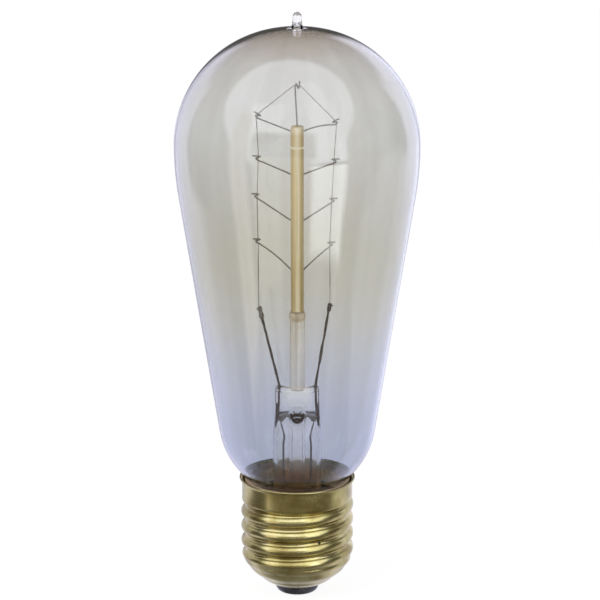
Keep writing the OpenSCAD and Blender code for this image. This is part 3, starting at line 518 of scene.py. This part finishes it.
joins = []
bm = bmesh.new()
bulge = (2 * rod["bead"] - (rod["clear"] + rod["amber"]) / 2, (rod["clearTop"] + rod["beadTop"]) / 2)
corners = [(rod["clear"], rod["clearTop"]), bulge, (rod["amber"], rod["beadTop"])]
spinMoves(bm, [(0, rod["clearFoot"]), (rod["clear"], rod["clearFoot"]),
               (rod["clear"], rod["clearTop"] - rod["beadRun"]),
               *[tuple(bend(*corners, i / 10)) for i in range(11)], (0, rod["beadTop"])], rod["segments"])
fused = toMesh("clearRod", bm)
for face in fused.polygons:
    face.material_index = corded
joins.append((fused, "UNION"))
bm = bmesh.new()
spinMoves(bm, [(0, exhaust["end"]), (0, exhaust["end"] + exhaust["radius"], -90, 6),
               (exhaust["radius"], exhaust["top"]), (0, exhaust["top"])], exhaust["segments"])
joins.append((toMesh("exhaustTube", bm), "UNION"))
bm = bmesh.new()
rows = [(exhaust["bore"], exhaust["shadeBase"] + exhaust["bandStep"] * i) for i in range(exhaust["bandRows"])]
spinMoves(bm, [(0, exhaust["boreTip"]), (exhaust["bore"], exhaust["boreFoot"]), *rows,
               (exhaust["bore"], exhaust["top"]), (0, exhaust["top"])], exhaust["segments"])
for face in bm.faces:  # painted shade behind the blown hole in two bands, the lower one only at the back of the tube
    middle = face.calc_center_median() / mm
    curved = math.hypot(middle.x, middle.z - exhaust["shadeBase"] - stem["blowR"]) < stem["blowR"]
    lower = middle.y > 0 and curved and middle.z < exhaust["bands"][0]
    if lower or exhaust["bands"][1] < middle.z < exhaust["bands"][2]:
        face.material_index = shadeSlot
joins.append((toMesh("exhaustBore", bm), "DIFFERENCE"))
bm = bmesh.new()  # hole blown out of the soft press, with a melted round edge
bmesh.ops.create_uvsphere(bm, u_segments=stem["blowSegments"], v_segments=stem["blowSegments"] // 2,
                          radius=1)
size = Vector((stem["blowR"], stem["blowDeep"], stem["blowR"])) * mm
bmesh.ops.scale(bm, verts=bm.verts[:], vec=size)
blowAt = (0, -(stem["halfThick"] + stem["blowOut"]) * mm, stem["blowZ"] * mm)
bmesh.ops.translate(bm, verts=bm.verts[:], vec=blowAt)
# painted shade: the lower half of the blown hole is dark brown
for face in bm.faces:
    if face.calc_center_median().z < (stem["blowZ"] - stem["blowShade"]) * mm:
        face.material_index = shadeSlot
joins.append((toMesh("blowHole", bm), "DIFFERENCE"))
tools = []
for mesh, way in joins:
    tools.append(bpy.data.objects.new(mesh.name, mesh))
    scene.collection.objects.link(tools[-1])
    join = stemPiece.modifiers.new(mesh.name, "BOOLEAN")
    join.object, join.operation, join.solver = tools[-1], way, "EXACT"
joined = stemPiece.evaluated_get(bpy.context.evaluated_depsgraph_get())
stemPiece.data = bpy.data.meshes.new_from_object(joined)
stemPiece.data.set_sharp_from_angle(angle=sharpAngle)
stemPiece.modifiers.clear()
for tool in tools:
    bpy.data.objects.remove(tool)

bm = bmesh.new()
neck = rod["amber"] - rod["round"]
spinMoves(bm, [(0, rod["amberTop"]), (neck, rod["amberTop"]), (neck, rod["amberTop"] - rod["round"], 90, 5),
               (rod["amber"], rod["amberFoot"]), (0, rod["amberFoot"])], rod["segments"])
addPiece("amberRod", toMesh("amberRod", bm), [amberGlass], ["support_rod"])
print("stem and rod drawn")

wires = {"support": 0.36, "filament": 0.22, "lead": 0.6, "seal": 0.42, "outer": 0.5, "seat": 1.1,
         "hookClear": 0.2, "hookRise": 1.0, "hookSteps": 24, "armSteps": 10, "tail": 1.3, "grip": 1.0,
         "free": 0.3, "roots": [113.35, 103.1, 92.05, 80.2], "apex": (0, 124.0),
         "left": [(-9.1, 117.0), (-9.1, 107.0), (-9.4, 98.0), (-9.2, 87.2)], "leftBow": [0, 0, 0, 0.9],
         "right": [(8.8, 115.4), (8.6, 106.3), (8.1, 96.95), (7.65, 86.4)], "rightBow": [0.9, 0, 0, 0.3],
         "tops": [(-9.05, 71.1), (7.65, 71.9)], "spread": 4.3, "stand": 0.12, "weld": 1.4, "sealEnd": 43.27}


def upright(point):
    return Vector((point[0], 0, point[1]))


feet = [Vector((side * wires["spread"], 0, stem["pressTop"] + wires["stand"])) for side in (-1, 1)]
tops = [upright(p) for p in wires["tops"]]
ways = [(top - foot).normalized() for top, foot in zip(tops, feet)]
strand = [tops[0] + wires["free"] * ways[0], *[upright(p) for p in reversed(wires["left"])],
          upright(wires["apex"]), *[upright(p) for p in wires["right"]], tops[1] + wires["free"] * ways[1]]
apexAt = len(wires["left"]) + 1
hookR = (wires["support"] + wires["filament"]) / 2 + wires["hookClear"]


def along(k):
    return ((strand[k + 1] - strand[k]).normalized() + (strand[k] - strand[k - 1]).normalized()).normalized()


def outward(k):
    return Vector((-along(k).z, 0, along(k).x))


def hookPoint(k, degrees, shift):
    a = math.radians(degrees)
    way = math.cos(a) * Vector((0, -1, 0)) + math.sin(a) * outward(k)
    return strand[k] + shift * along(k) + hookR * way


def supportPath(k, root, bow, lift):
    # seat in the rod, arm, one turn around the filament, free end
    rise, steps, pieces = lift * wires["hookRise"], wires["hookSteps"], wires["armSteps"]
    head = hookPoint(k, 0, -rise / 2)
    middle = (root + head) / 2 + Vector((0, 0, bow))
    turn = [hookPoint(k, 360 * i / steps, rise * (i / steps - 0.5)) for i in range(1, steps + 1)]
    arm = [bend(root, middle, head, i / pieces) for i in range(pieces + 1)]
    seat = root - wires["seat"] * (middle - root).normalized()
    return [seat, *arm, *turn, turn[-1] + wires["tail"] * outward(k)]


for i, height in enumerate(wires["roots"]):
    for side, k, lift in (("left", apexAt - 1 - i, 1), ("right", apexAt + 1 + i, -1)):
        path = supportPath(k, Vector((-lift * rod["amber"], 0, height)), wires[side + "Bow"][i], lift)
        addWire(f"{side}Support{i + 1}", path, wires["support"], molybdenum,
                [f"{side}_support_{i + 1}"])
path = supportPath(apexAt, Vector((0, 0, rod["amberTop"])), 0, 1)
addWire("apexSupport", path, wires["support"], molybdenum, ["apex_support"])

hold = wires["hookRise"] / 2 + wires["support"]
thread = [tops[0] - wires["grip"] * ways[0], strand[0]]
for k in range(1, len(strand) - 1):
    thread += [strand[k] - hold * along(k), strand[k] + hold * along(k)]
thread += [strand[-1], tops[1] - wires["grip"] * ways[1]]
addWire("carbonFilament", thread, wires["filament"], carbon, ["carbon_filament"])

# crimped ferrules as (radius, distance from the top); the nub is the folded end of the crimp
nub = {"foot": 0.24, "end": 0.16, "down": 0.45, "segments": 12}
clamps = {"Left": {"crimp": [(0, -2.9), (0.42, -2.9), (0.6, -2.6), (0.6, -1.8), (0.5, -1.4), (0.57, -1.0),
                             (0.6, -0.25), (0.42, 0), (0, 0)], "nub": -0.75, "metal": steel},
          "Right": {"crimp": [(0, -2.0), (0.36, -2.0), (0.47, -1.8), (0.47, -0.9), (0.42, -0.6),
                              (0.47, -0.25), (0.36, 0), (0, 0)], "nub": 0.95, "metal": nickel}}
weldZ = stem["pressTop"] - wires["weld"]
for i, (side, clamp) in enumerate(clamps.items()):
    lead = [tops[i] - wires["grip"] * ways[i], feet[i], Vector((feet[i].x, 0, weldZ))]
    addWire(f"innerLead{side}", lead, wires["lead"], nickel, [f"inner_lead_{side.lower()}"])
    seal = [(feet[i].x, 0, weldZ), (feet[i].x, 0, wires["sealEnd"])]
    addWire(f"sealWire{side}", seal, wires["seal"], cladCopper, [f"seal_wire_{side.lower()}"])
    bm = bmesh.new()
    spinMoves(bm, clamp["crimp"], 24)
    lay = Matrix.Rotation(math.copysign(math.pi / 2, clamp["nub"]), 4, "Y")
    lay = Matrix.Translation((clamp["nub"] / 2 * mm, 0, -nub["down"] * mm)) @ lay
    bmesh.ops.create_cone(bm, cap_ends=True, segments=nub["segments"], radius1=nub["foot"] * mm,
                          radius2=nub["end"] * mm, depth=abs(clamp["nub"]) * mm, matrix=lay)
    tilt = Vector((0, 0, 1)).rotation_difference(ways[i]).to_matrix().to_4x4()
    bmesh.ops.transform(bm, verts=bm.verts[:], matrix=Matrix.Translation(tops[i] * mm) @ tilt)
    addPiece(f"filamentClamp{side}", toMesh(f"filamentClamp{side}", bm), [clamp["metal"]],
             [f"filament_clamp_{side.lower()}"])

outerLeads = {"Centre": [(-4.3, 0, 43.27), (-4.3, 0, 42.77), (-3.3, 0, 38.6), (-3.3, 0, 11.0),
                         (-1.65, 0, 8.7), (0, 0, 6.9), (0, 0, 0.6)],
              "Side": [(4.3, 0, 43.27), (4.3, 0, 42.77), (3.3, 0, 38.6), (3.3, 0, 21.6), (2.36, -3.3, 17.0),
                       (2.31, -4.95, 16.0), (4.62, -9.91, 16.0)]}
for name, route in outerLeads.items():
    addWire(f"outerLead{name}", route, wires["outer"], copper,
            [f"outer_lead_{name.lower()}"])
for node, material in (("basing_cement", cement), ("contact_solder", solder), ("side_solder", solder)):
    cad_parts[node].data.materials.clear()
    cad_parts[node].data.materials.append(material)
print("wires strung")

scene.view_settings.view_transform = "Standard"
scene.cycles.max_bounces = scene.cycles.transmission_bounces = 28  # the stem is a dozen glass faces deep
scene.cycles.transparent_max_bounces = 24

mirrored = {"stemDepth": 5.5, "lost": 0.75}


def mirrorShare(tree, path):
    # a ray that was mirrored sees the studio, one that only passed through glass the white ground,
    # and one that was mirrored deep in the stem mostly the white ground
    deep = addNode(tree, "ShaderNodeMath", {"operation": "GREATER_THAN", 1: mirrored["stemDepth"]},
                   {0: path.outputs["Transmission Depth"]})
    most = addNode(tree, "ShaderNodeMath", {"operation": "MULTIPLY_ADD", 1: -mirrored["lost"], 2: 1.0},
                   {0: deep.outputs[0]})
    return addNode(tree, "ShaderNodeMath", {"operation": "MINIMUM"},
                   {0: path.outputs["Glossy Depth"], 1: most.outputs[0]}).outputs[0]


# matt white paper: plain white to the eye, with the object's soft shadow; gloss sees the shade in front of
# the bulb on it, and the studio beyond
ground = {"half": 3, "white": 0.93, "shadeAt": (20 * mm, -88 * mm, 0), "shadeHalf": (110 * mm, 76 * mm, 1),
          "shadeRim": 1.06, "shadeFull": 0.92, "shadeLight": (0.22, 0.21, 0.19, 1)}
paper, tree, place = startMaterial("whitePaperFloor")
path = addNode(tree, "ShaderNodeLightPath")
seen = addNode(tree, "ShaderNodeMath", {"operation": "MAXIMUM"},
               {0: path.outputs["Is Camera Ray"], 1: path.outputs["Is Transmission Ray"]})
share = addNode(tree, "ShaderNodeMath", {"operation": "MULTIPLY", 1: ground["white"]}, {0: seen.outputs[0]})
matt = addNode(tree, "ShaderNodeBsdfDiffuse", {"Color": linear("#F6F6F6")})
white = addNode(tree, "ShaderNodeEmission", {"Strength": 1.0})
plain = addNode(tree, "ShaderNodeMixShader", {},
                {0: share.outputs[0], 1: matt.outputs[0], 2: white.outputs[0]})
off = addNode(tree, "ShaderNodeVectorMath", {"operation": "SUBTRACT", 1: ground["shadeAt"]}, {0: place})
part = addNode(tree, "ShaderNodeVectorMath", {"operation": "DIVIDE", 1: ground["shadeHalf"]},
               {0: off.outputs["Vector"]})
reach = addNode(tree, "ShaderNodeVectorMath", {"operation": "LENGTH"}, {0: part.outputs["Vector"]})
near = addNode(tree, "ShaderNodeMapRange", {"From Min": ground["shadeRim"], "From Max": ground["shadeFull"]},
               {"Value": reach.outputs["Value"]})
through = addNode(tree, "ShaderNodeBsdfTransparent")
dark = addNode(tree, "ShaderNodeEmission", {"Color": ground["shadeLight"]})
shaded = addNode(tree, "ShaderNodeMixShader", {},
                 {0: near.outputs["Result"], 1: through.outputs[0], 2: dark.outputs[0]})
both = addNode(tree, "ShaderNodeMixShader", {},
               {0: mirrorShare(tree, path), 1: plain.outputs[0], 2: shaded.outputs[0]})
addNode(tree, "ShaderNodeOutputMaterial", {}, {"Surface": both.outputs[0]})
bm = bmesh.new()
bmesh.ops.create_grid(bm, x_segments=1, y_segments=1, size=ground["half"])
floor = bpy.data.objects.new("floor", toMesh("floor", bm))
floor.data.materials.append(paper)
scene.collection.objects.link(floor)

# white cards that stand beside the cap and show only where it and the glass mirror them
cards = {"rightCard": {"middle": (62, 37, 32), "half": (37, 32), "light": (0.92, 0.96, 1.18, 1)},
         "leftCard": {"middle": (-62, 52, 32), "half": (40, 32), "light": (0.8, 0.82, 0.98, 1)}}
for name, card in cards.items():
    white, tree, _ = startMaterial(name + "White")
    glow = addNode(tree, "ShaderNodeEmission", {"Color": card["light"]})
    addNode(tree, "ShaderNodeOutputMaterial", {}, {"Surface": glow.outputs[0]})
    bm = bmesh.new()
    turn = Matrix.Translation(Vector(card["middle"]) * mm) @ Matrix.Rotation(math.pi / 2, 4, "Y")
    spread = Matrix.Diagonal((card["half"][1] * mm, card["half"][0] * mm, 1, 1))
    bmesh.ops.create_grid(bm, x_segments=1, y_segments=1, size=1, matrix=turn @ spread)
    stand = bpy.data.objects.new(name, toMesh(name, bm))
    stand.data.materials.append(white)
    stand.visible_camera = stand.visible_diffuse = stand.visible_transmission = stand.visible_shadow = False
    scene.collection.objects.link(stand)

# what gloss sees, each panel over the one before: azimuth from the front, positive to the right, and
# elevation; a round panel fades between two radii, an upright one has half its width and height and a soft
# edge; all in degrees
studio = {"room": (0.10, 0.10, 0.095, 1), "panels": [
    {"at": (169, -70), "fade": (70, 62), "light": (0.80, 0.80, 0.95, 1)},  # white table behind and beside
    {"at": (100, -30), "fade": (32, 12), "light": (0.8, 0.81, 0.9, 1)},  # more of it on the right
    {"at": (147, 2), "half": (23, 24), "soft": (4, 6), "light": (1.08, 1.10, 1.3, 1)},  # right wing
    {"at": (-144, -10), "half": (20, 34), "soft": (4, 8), "light": (0.84, 0.84, 1.0, 1)},  # left wing
    {"at": (-70, -82), "fade": (48, 28), "light": (0.30, 0.31, 0.35, 1)},  # shade under the bulb
    {"at": (-13, 46), "fade": (62, 56), "light": (1.65, 1.75, 1.95, 1)},  # soft tent over the front
    {"at": (29, 36), "half": (18, 40), "soft": (3, 2), "light": (2.1, 2.25, 2.4, 1)},  # window on the right
    {"at": (29, -20), "half": (18, 12.5), "soft": (3, 1), "light": (3.2, 3.3, 3.3, 1)},  # its sill
    {"at": (-57, 0), "half": (9, 36), "soft": (4, 4), "light": (1.22, 1.15, 1.0, 1)},  # window on the left
    {"at": (-12.5, 12), "half": (30, 12), "soft": (4, 3), "light": (0.30, 0.30, 0.30, 1)},  # dark in front
    {"at": (-14, -16), "half": (27, 17), "soft": (4, 2), "light": (0.85, 0.80, 0.62, 1)}]}  # wooden bench
world = bpy.data.worlds.new("studio")
scene.world = world
world.use_nodes = True
tree = world.node_tree
tree.nodes.clear()
sight = addNode(tree, "ShaderNodeTexCoord").outputs["Generated"]
parts = addNode(tree, "ShaderNodeSeparateXYZ", {}, {"Vector": sight}).outputs
front = addNode(tree, "ShaderNodeMath", {"operation": "MULTIPLY", 1: -1.0}, {0: parts["Y"]})
azimuth = addNode(tree, "ShaderNodeMath", {"operation": "ARCTAN2"}, {0: parts["X"], 1: front.outputs[0]})
elevation = addNode(tree, "ShaderNodeMath", {"operation": "ARCSINE"}, {0: parts["Z"]})
below = {}
for panel in studio["panels"]:
    turn, lift = (math.radians(a) for a in panel["at"])
    if "half" in panel:
        shares = []
        sides = zip((azimuth, elevation), (turn, lift), panel["half"], panel["soft"])
        for angle, middle, half, soft in sides:
            off = addNode(tree, "ShaderNodeMath", {"operation": "SUBTRACT", 1: middle}, {0: angle.outputs[0]})
            away = addNode(tree, "ShaderNodeMath", {"operation": "ABSOLUTE"}, {0: off.outputs[0]})
            rim, full = math.radians(half + soft), math.radians(half - soft)
            shares.append(addNode(tree, "ShaderNodeMapRange",
                                  {"interpolation_type": "SMOOTHSTEP", "From Min": rim, "From Max": full},
                                  {"Value": away.outputs[0]}).outputs["Result"])
        share = addNode(tree, "ShaderNodeMath", {"operation": "MULTIPLY"},
                        {0: shares[0], 1: shares[1]}).outputs[0]
    else:
        towards = (math.sin(turn) * math.cos(lift), -math.cos(turn) * math.cos(lift), math.sin(lift))
        near = addNode(tree, "ShaderNodeVectorMath", {"operation": "DOT_PRODUCT", 1: towards}, {0: sight})
        rim, full = (math.cos(math.radians(a)) for a in panel["fade"])
        share = addNode(tree, "ShaderNodeMapRange",
                        {"interpolation_type": "SMOOTHSTEP", "From Min": rim, "From Max": full},
                        {"Value": near.outputs["Value"]}).outputs["Result"]
    glow = addNode(tree, "ShaderNodeMix", {"data_type": "RGBA", 6: studio["room"], 7: panel["light"]},
                   {0: share, **below})
    below = {6: glow.outputs[2]}
path = addNode(tree, "ShaderNodeLightPath")
lit = addNode(tree, "ShaderNodeMix", {"data_type": "RGBA", 6: (1, 1, 1, 1)},
              {0: mirrorShare(tree, path), 7: glow.outputs[2]})
back = addNode(tree, "ShaderNodeBackground", {}, {"Color": lit.outputs[2]})
addNode(tree, "ShaderNodeOutputWorld", {}, {"Surface": back.outputs[0]})

lampAim = Vector((0, 0, 0.08))
lamps = {"keySoftbox": {"place": (-0.75, -0.75, 0.8), "size": (0.7, 0.5), "watts": 13},
         "fillSoftbox": {"place": (0.9, -0.5, 0.45), "size": (0.3, 0.7), "watts": 5}}
for name, box in lamps.items():
    light = bpy.data.lights.new(name, "AREA")
    light.shape, light.size, light.size_y, light.energy = "RECTANGLE", *box["size"], box["watts"]
    lamp = bpy.data.objects.new(name, light)
    lamp.location = box["place"]
    lamp.rotation_euler = (lampAim - Vector(box["place"])).to_track_quat("-Z", "Y").to_euler()
    lamp.visible_glossy = lamp.visible_transmission = False  # gloss sees the panels instead
    scene.collection.objects.link(lamp)

viewer = {"distance": 0.8, "aim": (0, 0, 0.07), "elevation": 15, "right": 0.66 * mm, "up": 2.495 * mm,
          "lens": 203.16, "sensor": 36, "nearest": 0.05}
lift = math.radians(viewer["elevation"])
back, up = Vector((0, -math.cos(lift), math.sin(lift))), Vector((0, math.sin(lift), math.cos(lift)))
camera = bpy.data.objects.new("camera", bpy.data.cameras.new("camera"))
camera.data.lens, camera.data.sensor_width = viewer["lens"], viewer["sensor"]
camera.data.clip_start = viewer["nearest"]
camera.rotation_euler = (math.pi / 2 - lift, 0, 0)
camera.location = (Vector(viewer["aim"]) + viewer["distance"] * back + viewer["up"] * up
                   + Vector((viewer["right"], 0, 0)))
scene.collection.objects.link(camera)
scene.camera = camera
print("stage set")
